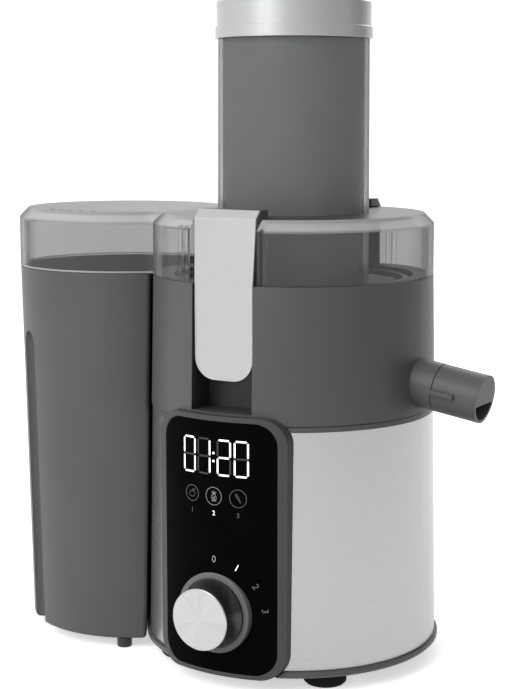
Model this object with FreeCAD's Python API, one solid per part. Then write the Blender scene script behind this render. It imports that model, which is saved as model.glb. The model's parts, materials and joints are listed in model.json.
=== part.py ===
import FreeCAD, Part
import math
import os
from FreeCAD import Vector

# A wide-chute centrifugal juicer. Millimetres, +Z up, origin on the motor axis at the table.
# The control panel faces -Y, the juice spout points to +X and the pulp container stands at -X.

os.makedirs("parts", exist_ok=True)

# ---- Driving dimensions: base and motor housing
BASE_Z = 8.9            # underside of the base tray above the table
RING_TOP_Z = 13.3       # top of the base ring, where the steel skin starts
RING_R = 89.8
FLOOR_T = 2.6
SKIN_TOP_Z = 151.0
SKIN_R_LOW = 88.0
SKIN_R_TOP = 85.5
SKIN_T = 0.6
SHELL_T = 2.2
DECK_T = 2.6
FOOT_R = 12.5
FOOT_CIRCLE = 70.0

# ---- Driving dimensions: juice bowl
BOWL_Z = 154.5
BOWL_TOP_Z = 232.6
BOWL_R_LOW = 86.0
BOWL_R_TOP = 84.35
BOWL_T = 2.6
BOWL_FLOOR_Z = 161.2
BOWL_FLOOR_T = 2.7
DECK_HOLE_R = 72.0
BOSS_R = 19.2
BOSS_HOLE_R = 16.7
BOSS_TOP_Z = 178.0

# ---- Driving dimensions: lid and feed chute
LID_Z = 232.9
LID_EDGE_Z = 263.6
LID_TOP_Z = 269.3
LID_R = 84.2
LID_CHAMFER = 5.8
LID_T = 2.5
NECK_R = 5.0            # rounding of the valley between bowl side and container side
CHUTE_R_LOW = 45.3
CHUTE_R_TOP = 44.8
CHUTE_BORE_R = 42.5
CHUTE_END_Z = 197.0
CHUTE_TOP_Z = 371.0

# ---- Driving dimensions: pulp container
BIN_R = 68.0
BIN_X_LOW = -115.6      # centre of the round outline at the bottom
BIN_X_TOP = -121.0      # the same at the rim: the outer end leans out
BIN_Z = 6.0
BIN_TOP_Z = 232.5
BIN_T = 2.2
BIN_CORNER = 2.6         # the two upright corners beside the housing
BIN_NEST_R_LOW = 90.7    # concave side, wrapped round the tapering housing: radius at the table
BIN_NEST_R_TOP = 85.9    # the same at the height below
BIN_NEST_H = 240.0
GROOVE_R = 9.0
GROOVE_TURN = 236.0     # direction of the finger groove, degrees from +X
GROOVE_TOP_Z = 184.0

# ---- Driving dimensions: latches
LATCH_HALF_W = 19.0
LATCH_TOP_HALF_W = 20.0
LATCH_Z = 178.0
LATCH_BEND_Z = 232.0
LATCH_FACE_Y = 81.0     # distance of the outer face from the motor axis
LATCH_TOP_Y = 79.0
LATCH_CORNER = 13.0
HOOK_BEVEL = 4.6
HOOK_Z = 274.4
HOOK_END_Y = 65.1
HOOK_UNDER_Z = 269.8
COVER_T = 1.1
ARM_T = 1.6
PIN_R = 2.0
PIN_Y = 74.5
PIN_Z = 188.0
RECESS_HALF_W = 19.9
RECESS_Z = 160.2
RECESS_Y = 74.3
RECESS_DEEP_Y = 64.0
RECESS_STEP_Z = 204.0
NOTCH_HALF_W = 22.0
NOTCH_Y = 76.2

# ---- Driving dimensions: spout
SPOUT_R = 14.1
SPOUT_BORE_R = 12.3
SPOUT_TIP_X = 125.4
SPOUT_TIP_Z = 166.0
SPOUT_DROOP = 9.2       # degrees below level
SPOUT_LENGTH = 28.0
SLEEVE_R = 11.95
SLEEVE_BORE_R = 10.2
SLEEVE_LENGTH = 13.0
SOCKET_R = 12.0

# ---- Driving dimensions: control panel
PANEL_R = 92.0
BEZEL_TURN = 27.2       # half angle of the bezel
BEZEL_Z0 = 8.3
BEZEL_Z1 = 159.6
BEZEL_CORNER = 15.0
GLASS_TURN = 23.75
GLASS_Z0 = 10.9
GLASS_Z1 = 156.6
GLASS_CORNER = 13.0
GLASS_T = 1.6
WINDOW_HALF_W = 34.0
KNOB_Z = 45.3
KNOB_RING_R = 23.5
KNOB_RING_Y = 93.4
KNOB_WELL_R = 20.5       # the knob's flange turns in a shallow well in the ring
KNOB_WELL_DEPTH = 0.9
KNOB_R_BACK = 19.7
KNOB_R_FRONT = 17.9
KNOB_FACE_Y = 108.0

# ---- Driving dimensions: pusher
PUSHER_R_TOP = 41.9
PUSHER_R_LOW = 40.1
PUSHER_Z = 203.0
CAP_Z = 371.3
CAP_STEP_Z = 378.3
CAP_TOP_Z = 393.0
CAP_RING_R = 46.5
CAP_R = 45.6

# ---- Driving dimensions: rotor
SHAFT_R = 4.0
RUN_FIT = 0.05
BASKET_Z = 186.0
BASKET_FLOOR_R = 50.0
BASKET_RIM_R = 70.0
BASKET_RIM_Z = 227.5
BASKET_TOP_Z = 230.6
COUPLING_R = 12.0
STATOR_R = 40.0
STATOR_Z0 = 48.0
STATOR_Z1 = 92.0
BORE_R = 23.0
ARMATURE_R = 22.3
BOLT_CIRCLE = 35.0
BOLT_R = 2.2
BRACKET_R = 43.0
UPPER_BRACKET_Z = 124.0

UP = Vector(0, 0, 1)
ORIGIN = Vector(0, 0, 0)


# ---- Helpers
def turned(points):
    """A closed (radius, height) outline spun about the motor axis."""
    wire = Part.makePolygon([Vector(r, 0, z) for r, z in points + points[:1]])
    return Part.Face(wire).revolve(ORIGIN, UP, 360)


def ring(r_out, r_in, z0, z1):
    return turned([(r_in, z0), (r_out, z0), (r_out, z1), (r_in, z1)])


def rod(r, start, end):
    """A round bar between two points."""
    run = Vector(*end) - Vector(*start)
    return Part.makeCylinder(r, run.Length, Vector(*start), run)


def block(x0, x1, y0, y1, z0, z1):
    return Part.makeBox(x1 - x0, y1 - y0, z1 - z0, Vector(x0, y0, z0))


def spun(shape, degrees):
    copy = shape.copy()
    copy.rotate(ORIGIN, UP, degrees)
    return copy


def rear(shape):
    return spun(shape, 180)


def around(shape, count, first=0.0):
    """The same solid repeated evenly about the motor axis."""
    return [spun(shape, first + 360.0 * i / count) for i in range(count)]


def joined(first, *others):
    shape = first
    for other in others:
        shape = shape.fuse(other)
    return shape.removeSplitter()


def bored(shape, *tools):
    for tool in tools:
        shape = shape.cut(tool)
    return shape


def slab_yz(points, half_w):
    """A (y, z) outline extruded evenly to both sides along X."""
    wire = Part.makePolygon([Vector(-half_w, y, z) for y, z in points + points[:1]])
    return Part.Face(wire).extrude(Vector(2 * half_w, 0, 0))


def slab_xz(points, y0, y1):
    """An (x, z) outline extruded along Y."""
    wire = Part.makePolygon([Vector(x, y0, z) for x, z in points + points[:1]])
    return Part.Face(wire).extrude(Vector(0, y1 - y0, 0))


def rounded_plate(half_w, z0, z1, corner, y0, y1):
    """An upright rectangle with round corners, extruded along Y."""
    plate = block(-half_w, half_w, y0, y1, z0, z1)
    upright = [e for e in plate.Edges if abs(e.BoundBox.YLength - (y1 - y0)) < 0.01]
    return plate.makeFillet(corner, upright)


def save(name, *shapes):
    solids = [s for shape in shapes for s in shape.Solids]
    whole = solids[0] if len(solids) == 1 else Part.makeCompound(solids)
    whole.exportStep("parts/%s.step" % name)
    bad = [s for s in solids if not s.isValid()]
    print("%-20s %2d solids %9.1f mm3 %s" % (name, len(solids), whole.Volume, "BAD" if bad else ""))


def skin_radius(z):
    share = (z - RING_TOP_Z) / (SKIN_TOP_Z - RING_TOP_Z)
    return SKIN_R_LOW + (SKIN_R_TOP - SKIN_R_LOW) * share


def skin_cone(inset, z0, z1):
    """A solid cone that follows the skin, moved inwards by inset."""
    r0 = skin_radius(z0) - inset
    r1 = skin_radius(z1) - inset
    return turned([(0, z0), (r0, z0), (r1, z1), (0, z1)])


# ---- Base
def foot():
    bevel = 1.5
    profile = [(0, 0), (FOOT_R - bevel, 0), (FOOT_R, bevel), (FOOT_R, BASE_Z), (STEM_R, BASE_Z),
               (STEM_R, BASE_Z + FLOOR_T + 1), (0, BASE_Z + FLOOR_T + 1)]
    pad = turned(profile)
    pad.translate(Vector(FOOT_CIRCLE, 0, 0))
    return pad


STEM_R = 3.5
SCREWS = 3
SCREW_CIRCLE = 74.0
SCREW_R = 1.9
SCREW_HEAD_R = 3.6
SCREW_LENGTH = 18.0
BOSS_POST_R = 4.6


def base_screw():
    z0 = BASE_Z - 0.2
    head = rod(SCREW_HEAD_R, (SCREW_CIRCLE, 0, z0 - 1.6), (SCREW_CIRCLE, 0, z0 + 0.2))
    stem = rod(SCREW_R, (SCREW_CIRCLE, 0, z0), (SCREW_CIRCLE, 0, z0 + SCREW_LENGTH))
    return joined(head, stem)


def base_tray():
    edge = 1.8
    wall = 2.4
    top_z = 21.0
    inner_r = skin_radius(RING_TOP_Z) - SKIN_T - SHELL_T - 0.4
    profile = [(0, BASE_Z), (RING_R - edge, BASE_Z), (RING_R, BASE_Z + edge), (RING_R, RING_TOP_Z - 0.2),
               (inner_r, RING_TOP_Z - 0.2), (inner_r, top_z), (inner_r - wall, top_z),
               (inner_r - wall, BASE_Z + FLOOR_T), (0, BASE_Z + FLOOR_T)]
    tray = turned(profile)
    for hole in around(rod(STEM_R + 0.1, (FOOT_CIRCLE, 0, 0), (FOOT_CIRCLE, 0, top_z)), 4, 45):
        tray = tray.cut(hole)
    for hole in around(rod(SCREW_R + 0.2, (SCREW_CIRCLE, 0, 0), (SCREW_CIRCLE, 0, top_z)), SCREWS, 90):
        tray = tray.cut(hole)
    slot = block(22, 46, -1.5, 1.5, BASE_Z - 1, BASE_Z + FLOOR_T + 1)
    for vent in around(slot, 24, 7.5):
        tray = tray.cut(vent)
    return tray.cut(panel_plate(BEZEL_HALF_W + 0.3, BEZEL_Z0 - 1, BEZEL_Z1, BEZEL_CORNER, RING_R - 3.2, 95))


# ---- Control panel
BEZEL_HALF_W = PANEL_R * math.sin(math.radians(BEZEL_TURN))
GLASS_HALF_W = PANEL_R * math.sin(math.radians(GLASS_TURN))


def panel_plate(half_w, z0, z1, corner, r_in, r_out):
    """A rounded rectangle wrapped on the front of a cylinder between two radii."""
    plate = rounded_plate(half_w, z0, z1, corner, -r_out - 5, -r_in * 0.7)
    return ring(r_out, r_in, z0 - 2, z1 + 2).common(plate)


def control_bezel():
    bezel = panel_plate(BEZEL_HALF_W, BEZEL_Z0, BEZEL_Z1, BEZEL_CORNER, 80.0, PANEL_R)
    bezel = bezel.cut(skin_cone(-0.15, RING_TOP_Z, SKIN_TOP_Z + 0.1))
    bezel = bezel.cut(Part.makeCylinder(RING_R - 3.0, RING_TOP_Z + 0.1))
    collar = Part.makeCylinder(BOWL_R_LOW + 0.5, BEZEL_Z1 - SKIN_TOP_Z + 9, Vector(0, 0, SKIN_TOP_Z))
    bezel = bezel.cut(collar)
    pocket = panel_plate(GLASS_HALF_W + 0.1, GLASS_Z0 - 0.1, GLASS_Z1 + 0.1, GLASS_CORNER,
                         PANEL_R - GLASS_T - 0.05, PANEL_R + 2)
    bezel = bezel.cut(pocket)
    window = block(-WINDOW_HALF_W + 4, WINDOW_HALF_W - 4, -100, -70, 66, 148)
    return bored(bezel, window, rod(10, (0, -100, KNOB_Z), (0, -70, KNOB_Z)))


def display_glass():
    glass = panel_plate(GLASS_HALF_W, GLASS_Z0, GLASS_Z1, GLASS_CORNER, PANEL_R - GLASS_T, PANEL_R)
    return glass.cut(rod(8, (0, -100, KNOB_Z), (0, -70, KNOB_Z)))


def knob_point(r, y):
    """A point of the knob's profile: radius from its own axis, distance from the motor axis."""
    return Vector(r, -y, KNOB_Z)


def knob_turned(edges):
    return Part.Face(Part.Wire(edges)).revolve(Vector(0, 0, KNOB_Z), Vector(0, 1, 0), 360)


def knob_profile(points):
    return Part.makePolygon([knob_point(r, y) for r, y in points]).Edges


SPINDLE_R = 3.0
KNOB_FACE_T = 0.6


def knob_ring():
    bore_r = 9.5
    well_y = KNOB_RING_Y - KNOB_WELL_DEPTH
    body = knob_turned(knob_profile([(bore_r, 88.5), (KNOB_RING_R, 88.5), (KNOB_RING_R, KNOB_RING_Y - 0.5),
                                     (KNOB_RING_R - 0.5, KNOB_RING_Y), (KNOB_WELL_R, KNOB_RING_Y),
                                     (KNOB_WELL_R, well_y), (bore_r, well_y), (bore_r, 88.5)]))
    return body.cut(Part.makeCylinder(PANEL_R + 0.02, BEZEL_Z1))


def knob_body():
    """A hollow-sided knob that flares out to a thin flange at the back."""
    back = KNOB_RING_Y - 0.4
    flange = back + 0.9
    front = KNOB_FACE_Y - KNOB_FACE_T
    flare = Part.Arc(knob_point(KNOB_R_BACK, flange), knob_point(KNOB_R_FRONT + 0.1, back + 5.5),
                     knob_point(KNOB_R_FRONT - 0.2, front))
    rest = knob_profile([(KNOB_R_FRONT - 0.2, front), (SPINDLE_R, front), (SPINDLE_R, back + 1.2),
                         (KNOB_R_BACK - 2.5, back + 1.2), (KNOB_R_BACK - 2.5, back), (KNOB_R_BACK, back),
                         (KNOB_R_BACK, flange)])
    return knob_turned([flare.toShape()] + rest)


def knob_face():
    front = KNOB_FACE_Y - KNOB_FACE_T
    return knob_turned(knob_profile([(0, front), (KNOB_R_FRONT, front), (KNOB_R_FRONT, front + 0.15),
                                     (KNOB_R_FRONT - 0.5, KNOB_FACE_Y), (0, KNOB_FACE_Y), (0, front)]))


def switch_body():
    case = block(-13, 13, -83, -64, KNOB_Z - 13, KNOB_Z + 13)
    neck = rod(4.5, (0, -88, KNOB_Z), (0, -83, KNOB_Z))
    pins = [block(x - 0.6, x + 0.6, -64, -60, KNOB_Z - 10, KNOB_Z - 7) for x in (-8, -4, 0, 4, 8)]
    body = joined(case, neck, *pins)
    return body.cut(rod(SPINDLE_R + RUN_FIT, (0, -89, KNOB_Z), (0, -66, KNOB_Z)))


# ---- Housing
def steel_skin():
    shell = skin_cone(0, RING_TOP_Z, SKIN_TOP_Z).cut(skin_cone(SKIN_T, RING_TOP_Z, SKIN_TOP_Z))
    return shell.cut(block(-WINDOW_HALF_W, WINDOW_HALF_W, -100, -60, 16, 148)).cut(cord_hole())


CORD_Z = 34.0


def cord_hole():
    return rod(7.6, (0, 60, CORD_Z), (0, 100, CORD_Z))


def motor_housing():
    gap = SKIN_T + 0.05
    outer = skin_cone(gap, RING_TOP_Z, SKIN_TOP_Z)
    inner = skin_cone(gap + SHELL_T, RING_TOP_Z, SKIN_TOP_Z - DECK_T)
    shell = outer.cut(inner)
    post_z = BASE_Z + FLOOR_T
    for post in around(rod(BOSS_POST_R, (SCREW_CIRCLE, 0, post_z), (SCREW_CIRCLE, 0, 44)), SCREWS, 90):
        shell = shell.fuse(post)
    for rib in around(block(SCREW_CIRCLE, 85, -1.2, 1.2, 24, 44), SCREWS, 90):
        shell = shell.fuse(rib.common(outer))
    for hole in around(rod(SCREW_R, (SCREW_CIRCLE, 0, 0), (SCREW_CIRCLE, 0, BASE_Z + SCREW_LENGTH)), SCREWS, 90):
        shell = shell.cut(hole)
    shell = shell.cut(block(-WINDOW_HALF_W, WINDOW_HALF_W, -100, -79, 16, 146))
    neck = ring(15.0, 12.6, SKIN_TOP_Z - DECK_T, 158.0)
    shell = shell.fuse(neck).cut(Part.makeCylinder(12.6, 40, Vector(0, 0, 140)))
    return shell.cut(cord_hole()).removeSplitter()


def top_collar():
    return turned([(80.0, SKIN_TOP_Z + 0.05), (85.4, SKIN_TOP_Z + 0.05), (85.4, 154.1), (83.1, 154.1),
                   (83.1, 157.6), (80.0, 157.6)])


# ---- Motor
def bolts():
    stem = rod(BOLT_R, (BOLT_CIRCLE, 0, 24.6), (BOLT_CIRCLE, 0, UPPER_BRACKET_Z + 6))
    head = rod(4.0, (BOLT_CIRCLE, 0, UPPER_BRACKET_Z + 4), (BOLT_CIRCLE, 0, UPPER_BRACKET_Z + 7))
    return around(joined(stem, head), 4, 45)


def bolt_holes(shape, clearance=0.1):
    for hole in around(rod(BOLT_R + clearance, (BOLT_CIRCLE, 0, 20), (BOLT_CIRCLE, 0, 140)), 4, 45):
        shape = shape.cut(hole)
    return shape


def stator_core():
    core = ring(STATOR_R, BORE_R, STATOR_Z0, STATOR_Z1)
    slot = block(-9, 9, BORE_R - 2, 32, STATOR_Z0 - 1, STATOR_Z1 + 1)
    for window in around(slot, 2, 0):
        core = core.cut(window)
    return bolt_holes(core)


def field_winding():
    coil = ring(31.0, 24.2, STATOR_Z0 - 9, STATOR_Z1 + 9)
    coil = coil.common(block(-8.6, 8.6, 10, 40, 0, 200))
    caps = [ring(33.0, 24.2, z, z + 8.7).common(block(-30, 30, 4, 40, 0, 200))
            for z in (STATOR_Z0 - 9, STATOR_Z1 + 0.3)]
    return bolt_holes(joined(coil, *caps), 0.4)


def lower_bracket():
    plate = turned([(5, 24.6), (BRACKET_R, 24.6), (BRACKET_R, 27.0), (14, 27.0), (14, 32), (11, 32),
                    (11, 24.8), (5, 24.8)])
    arms = [spun(block(20, 43, 5, 15, 24, 28), a) for a in (0, 90, 180, 270)]
    return bolt_holes(bored(plate, *arms), 0)


def upper_bracket():
    z = UPPER_BRACKET_Z
    plate = turned([(11, z - 5), (14, z - 5), (14, z), (BRACKET_R, z), (BRACKET_R, z + 4), (5, z + 4),
                    (5, z + 3), (11, z + 3)])
    return bolt_holes(plate, 0)


def bearing(z0, z1):
    return ring(11.0, SHAFT_R + RUN_FIT, z0, z1)


def brush_set():
    holder = block(14.5, 34, -5, 5, 101, 113)
    holder = holder.cut(block(10, 33, -3.1, 3.1, 103.4, 110.6))
    arm = block(29, 34, -5, 5, 113, UPPER_BRACKET_Z)
    brush = block(12.3, 28, -3, 3, 103.5, 110.5).cut(Part.makeCylinder(12.3, 30, Vector(0, 0, 95)))
    return joined(holder, arm), brush


def motor_mount():
    z0 = UPPER_BRACKET_Z + 4
    z1 = SKIN_TOP_Z - DECK_T
    pad = turned([(0, z0), (6, z0), (7.5, z0 + 4), (5.5, (z0 + z1) / 2), (7.5, z1 - 4), (6, z1), (0, z1)])
    pad.translate(Vector(32, 0, 0))
    return pad


def armature_core():
    core = ring(ARMATURE_R, SHAFT_R, STATOR_Z0, STATOR_Z1)
    for slot in around(block(15, 24, -1.3, 1.3, 40, 100), 12, 0):
        core = core.cut(slot)
    return core


def armature_winding():
    lower = turned([(6, 43), (17, 43), (19.5, 45.5), (19.5, 47.9), (6, 47.9)])
    upper = turned([(6, 92.1), (19.5, 92.1), (19.5, 95), (15, 99.5), (6, 99.5)])
    bars = around(block(16, 21.5, -1.2, 1.2, 47, 93), 12, 0)
    return joined(lower, upper, *bars).cut(Part.makeCylinder(SHAFT_R + 0.1, 80, Vector(0, 0, 30)))


def commutator():
    drum = ring(12.0, SHAFT_R, 100.2, 114)
    for gap in around(block(11, 13, -0.25, 0.25, 99, 112), 16, 0):
        drum = drum.cut(gap)
    return drum


def cooling_fan():
    disc = ring(31.5, SHAFT_R, 33.0, 34.4)
    hub = ring(8.0, SHAFT_R, 33.0, 38.4)
    blade = block(7, 31, -0.7, 0.7, 33.5, 38.2)
    blade.rotate(Vector(18, 0, 0), UP, 22)
    return joined(disc, hub, *around(blade, 9, 0))


def motor_shaft():
    z1 = BASKET_Z - 6
    return turned([(0, 25.2), (SHAFT_R - 0.5, 25.2), (SHAFT_R, 25.8), (SHAFT_R, z1 - 0.6),
                   (SHAFT_R - 0.6, z1), (0, z1)])


def shaft_seal():
    lip = SHAFT_R + 0.1
    return turned([(lip, 151.2), (12.5, 151.2), (12.5, 156.4), (8.5, 156.4), (6.0, 153.6), (lip, 153.6)])


def drive_coupling():
    hub = ring(COUPLING_R - 2.6, SHAFT_R, 160.5, 180.0)
    cog = block(7, COUPLING_R - 0.2, -1.6, 1.6, 163.5, 179.0)
    return joined(hub, *around(cog, 8, 0))


# ---- Filter basket
def cone_shell(r0, r1, z0, z1, thick):
    return turned([(r0, z0), (r1, z1), (r1 - thick, z1), (r0 - thick, z0)])


def basket_frame():
    hub = ring(15.0, COUPLING_R + 0.1, 166.0, BASKET_Z)
    floor = ring(BASKET_FLOOR_R, 0.01, BASKET_Z - 0.01, BASKET_Z + 2.6).fuse(
        Part.makeCylinder(5, 2.6, Vector(0, 0, BASKET_Z)))
    wall = cone_shell(BASKET_FLOOR_R, 67.6, BASKET_Z + 2, BASKET_RIM_Z + 0.5, 1.8)
    window = block(30, 80, -15, 15, 195, 221)
    tapered = window.common(turned([(40, 190), (80, 190), (80, 230), (40, 230)]))
    for opening in around(tapered, 8, 22.5):
        wall = wall.cut(opening)
    rim = turned([(65.6, BASKET_RIM_Z), (BASKET_RIM_R, BASKET_RIM_Z + 0.6), (BASKET_RIM_R, BASKET_TOP_Z - 0.8),
                  (BASKET_RIM_R - 0.8, BASKET_TOP_Z), (65.6, BASKET_TOP_Z)])
    return joined(hub, floor, wall, rim)


def basket_mesh():
    return cone_shell(BASKET_FLOOR_R - 1.6, 65.2, BASKET_Z + 2.8, BASKET_RIM_Z, 0.5)


def grater_disc():
    z0 = BASKET_Z + 2.7
    disc = Part.makeCylinder(44.0, 1.2, Vector(0, 0, z0))
    teeth = []
    for row in range(4):
        radius = 10.0 + 9.5 * row
        count = 6 + 6 * row
        tooth = Part.makeCone(1.3, 0.25, 3.0, Vector(radius, 0, z0 + 0.9))
        teeth += around(tooth, count, 7.0 * row)
    return disc.multiFuse(teeth)


# ---- Juice bowl
def bowl_outer():
    return turned([(0, BOWL_Z), (BOWL_R_LOW, BOWL_Z), (BOWL_R_TOP, BOWL_TOP_Z), (0, BOWL_TOP_Z)])


def latch_recess(extra):
    """The pocket behind a latch, or its lining when extra is the wall thickness."""
    half_w = RECESS_HALF_W + extra
    shallow = block(-half_w, half_w, -100, -RECESS_Y + extra, RECESS_Z - extra, 240)
    deep = slab_yz([(-100, RECESS_Z - extra), (-RECESS_DEEP_Y + extra, RECESS_Z - extra),
                    (-RECESS_DEEP_Y + extra, RECESS_STEP_Z - 6), (-RECESS_Y + extra, RECESS_STEP_Z + 6 + extra),
                    (-100, RECESS_STEP_Z + 6 + extra)], half_w)
    return shallow.fuse(deep)


DROOP = math.radians(SPOUT_DROOP)
SPOUT_DIR = Vector(math.cos(DROOP), 0, -math.sin(DROOP))
SPOUT_TIP = Vector(SPOUT_TIP_X, 0, SPOUT_TIP_Z)
SEAM = SPOUT_TIP - SPOUT_DIR * SPOUT_LENGTH


def spout_bar(r, start, length):
    """A bar on the spout's axis; start is measured outwards from the seam."""
    return Part.makeCylinder(r, length, SEAM + SPOUT_DIR * start, SPOUT_DIR)


def juice_bowl():
    wall_in = BOWL_R_LOW - BOWL_T
    floor_z0 = BOWL_FLOOR_Z - BOWL_FLOOR_T
    shell = turned([(BOWL_R_LOW, BOWL_Z), (BOWL_R_TOP, BOWL_TOP_Z), (DECK_HOLE_R, BOWL_TOP_Z),
                    (DECK_HOLE_R, BOWL_TOP_Z - BOWL_T), (BOWL_R_TOP - BOWL_T, BOWL_TOP_Z - BOWL_T),
                    (wall_in, BOWL_FLOOR_Z), (BOSS_R, BOWL_FLOOR_Z), (BOSS_R, BOSS_TOP_Z),
                    (BOSS_HOLE_R, BOSS_TOP_Z), (BOSS_HOLE_R, floor_z0), (wall_in, floor_z0),
                    (wall_in, BOWL_Z)])
    lining = bowl_outer().common(latch_recess(2.0)).common(block(-90, 90, -90, 90, floor_z0, BOWL_TOP_Z))
    shell = joined(shell, lining, rear(lining))
    boss = spout_bar(SPOUT_R + 0.1, -17.5, 17.3)
    boss = boss.cut(Part.makeCylinder(BOWL_R_LOW - 2.0, 90, Vector(0, 0, BOWL_Z)))
    shell = joined(shell, boss).cut(spout_bar(SOCKET_R, -30, 32))
    pocket = latch_recess(0)
    return bored(shell, pocket, rear(pocket), pin(), rear(pin()))


def spout_o_ring():
    seat = -7.0
    path_r = SLEEVE_R - 0.5
    torus = Part.makeTorus(path_r, 0.9, SEAM + SPOUT_DIR * seat, SPOUT_DIR)
    return torus.common(spout_bar(SOCKET_R - 0.03, seat - 2, 4))


def spout():
    tube = spout_bar(SPOUT_R, 0.2, SPOUT_LENGTH - 0.2).cut(spout_bar(SPOUT_BORE_R, 4, SPOUT_LENGTH))
    tube = tube.fuse(spout_bar(SLEEVE_R, -SLEEVE_LENGTH, SLEEVE_LENGTH + 1))
    tube = tube.cut(spout_bar(SLEEVE_BORE_R, -SLEEVE_LENGTH - 1, SLEEVE_LENGTH + 6))
    plate = spout_bar(SPOUT_R - 0.5, SPOUT_LENGTH - 2.0, 2.0)
    drop = 3.0
    mouth = Part.makeBox(60, 60, 40, Vector(-30, -30, -40 - drop))
    mouth.rotate(ORIGIN, Vector(0, 1, 0), SPOUT_DROOP)
    mouth.translate(SPOUT_TIP)
    plate = plate.cut(mouth)
    rib = Part.makeBox(14.0, 3.2, 2.6, Vector(0, -SPOUT_R - 2.0, -1.3))
    rib.rotate(ORIGIN, Vector(0, 1, 0), SPOUT_DROOP)
    rib.translate(SEAM + SPOUT_DIR * 0.4)
    groove = Part.makeTorus(SLEEVE_R - 0.5, 1.0, SEAM - SPOUT_DIR * 7.0, SPOUT_DIR)
    return joined(tube, plate, rib).cut(groove)


# ---- Latches
def latch_outline(half_w, half_top, z0, corner):
    """The latch seen from the front: straight sides that flare towards the hook."""
    outline = slab_xz([(-half_w, z0), (half_w, z0), (half_w, LATCH_BEND_Z), (half_top, 268), (half_top, 280),
                       (-half_top, 280), (-half_top, 268), (-half_w, LATCH_BEND_Z)], -90, -55)
    low = [e for e in outline.Edges if e.BoundBox.ZMax < z0 + 0.1 and e.BoundBox.YLength > 30]
    return outline.makeFillet(corner, low)


def latch_line(inset):
    """The bent line of the latch, offset inwards from its outer face, up to the top of its bevel."""
    tilt = math.tan(math.radians(22.5)) * inset
    return [(-LATCH_FACE_Y + inset, 150), (-LATCH_FACE_Y + inset, LATCH_BEND_Z),
            (-LATCH_TOP_Y + inset, HOOK_Z - HOOK_BEVEL - tilt),
            (-LATCH_TOP_Y + HOOK_BEVEL + tilt, HOOK_Z - inset)]


def latch_layer(outset, inset):
    return slab_yz(latch_line(outset) + latch_line(inset)[::-1], 25)


def latch_cover():
    sheet = latch_layer(0, COVER_T)
    return sheet.common(latch_outline(LATCH_HALF_W, LATCH_TOP_HALF_W, LATCH_Z, LATCH_CORNER))


def pin():
    return rod(PIN_R, (-RECESS_HALF_W - 1.8, -PIN_Y, PIN_Z), (RECESS_HALF_W + 1.8, -PIN_Y, PIN_Z))


def latch_arm():
    sheet = latch_layer(COVER_T, COVER_T + ARM_T)
    outline = latch_outline(LATCH_HALF_W - 0.3, LATCH_TOP_HALF_W, LATCH_Z + 0.3, LATCH_CORNER - 0.3)
    cover_edge = latch_line(0)[-1]
    cover_inner_edge = latch_line(COVER_T)[-1]
    arm = sheet.common(outline)
    inner_y = -NOTCH_Y - 0.5
    lip = slab_yz([(inner_y - 1.0, 262), (inner_y, 262), (inner_y, 265.3), (-72.4, HOOK_UNDER_Z),
                   (-HOOK_END_Y, HOOK_UNDER_Z), (-HOOK_END_Y, HOOK_Z), cover_edge, cover_inner_edge,
                   (inner_y - 1.0, HOOK_Z - COVER_T - 3.8)], LATCH_TOP_HALF_W).common(outline)
    ear = slab_yz([(-79.0, 182.0), (-73.5, 183.5), (-71.0, 186.0), (-71.0, 190.5), (-73.5, 193.5), (-79.0, 198)], 2.5)
    ears = []
    for x in (-12, 12):
        copy = ear.copy()
        copy.translate(Vector(x, 0, 0))
        ears.append(copy)
    arm = joined(arm, lip, *ears)
    return arm.cut(rod(PIN_R + RUN_FIT, (-30, -PIN_Y, PIN_Z), (30, -PIN_Y, PIN_Z)))


# ---- Lid
def lid_outline(inset, z):
    """The plan of bowl and container together: two circles joined by tangent hollow arcs."""
    r1 = LID_R - inset
    r2 = BIN_R + 0.2 - inset
    neck = NECK_R + inset
    x = ((r1 + neck) ** 2 - (r2 + neck) ** 2 + BIN_X_TOP ** 2) / (2 * BIN_X_TOP)
    y = math.sqrt((r1 + neck) ** 2 - x ** 2)
    lobe = Vector(BIN_X_TOP, 0, 0)

    def touch(side):
        centre = Vector(x, side * y, 0)
        on_bowl = centre * (r1 / (r1 + neck))
        on_lobe = lobe + (centre - lobe) * (r2 / (r2 + neck))
        inward = (ORIGIN - centre).normalize() + (lobe - centre).normalize()
        return on_bowl, on_lobe, centre + inward.normalize() * neck
    bowl_a, lobe_a, neck_a = touch(1)
    bowl_b, lobe_b, neck_b = touch(-1)
    arcs = [Part.Arc(bowl_b, Vector(r1, 0, 0), bowl_a), Part.Arc(bowl_a, neck_a, lobe_a),
            Part.Arc(lobe_a, lobe - Vector(r2, 0, 0), lobe_b), Part.Arc(lobe_b, neck_b, bowl_b)]
    wire = Part.Wire([arc.toShape() for arc in arcs])
    wire.translate(Vector(0, 0, z))
    return Part.Face(wire)


def notch(half_w, inset):
    """The space cut out of the lid for a latch's hook."""
    y = -NOTCH_Y + inset
    return slab_yz([(-110, 225), (y, 225), (y, LID_EDGE_Z - inset * 0.4), (y + LID_CHAMFER - 0.1, LID_TOP_Z - inset),
                    (y + LID_CHAMFER - 0.1, 290), (-110, 290)], half_w)


def lid_body(inset, z0):
    chamfer = LID_CHAMFER - inset * 0.4
    top = LID_TOP_Z - inset
    body = lid_outline(inset, z0).extrude(Vector(0, 0, top - z0))
    rim = [e for e in body.Edges if e.BoundBox.ZMin > top - 0.1]
    return body.makeChamfer(chamfer, rim)


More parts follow.
